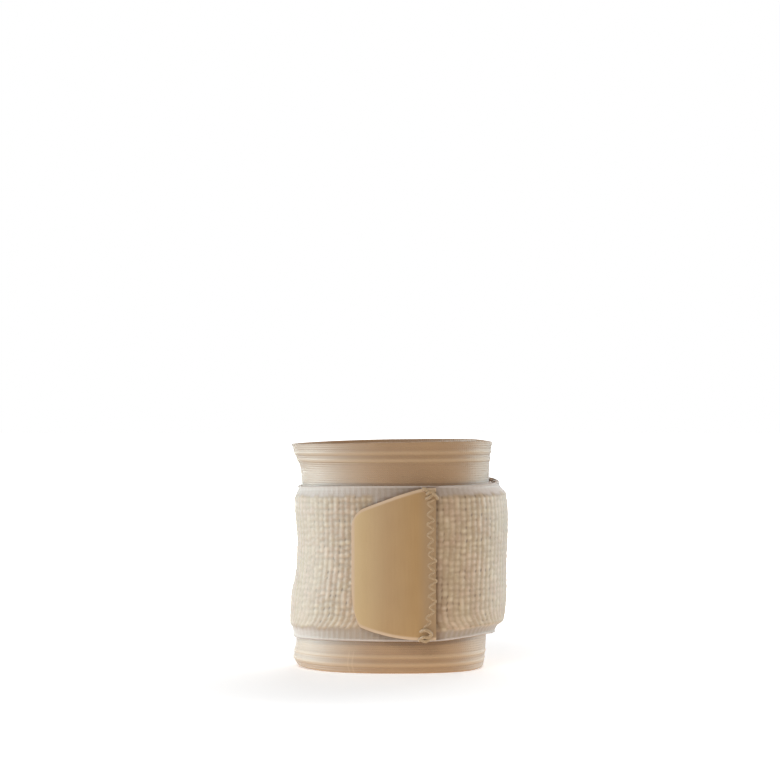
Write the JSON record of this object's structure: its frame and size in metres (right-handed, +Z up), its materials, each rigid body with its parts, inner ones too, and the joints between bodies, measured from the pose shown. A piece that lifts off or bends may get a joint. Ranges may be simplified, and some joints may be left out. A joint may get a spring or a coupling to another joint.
{
  "type": "wrist support",
  "caption": "Elastic wrist support: a knitted tube sleeve wrapped by a woven elastic strap that closes at the front with a smooth sewn fastening tab.",
  "frame": {"origin": "on the floor under the middle of the outer box, where the lower hem stands", "axes": "+Z up along the wrist towards the hand, -Y out of the front where the tab closes, +X to the right seen from the front"},
  "size_m": [0.0708, 0.0526, 0.074],
  "materials": {
    "sleeve_knit": "fine ribbed elastic knit, beige, soft sheen",
    "strap_weave": "waffle-woven elastic webbing, light beige, with pale selvedges",
    "tab_laminate": "smooth satin laminate, tan, with pale cut edges"
  },
  "bodies": {
    "root": {"sleeve": "sleeve_knit", "strap": "strap_weave", "fastening_tab": "tab_laminate"}
  },
  "joints": []
}
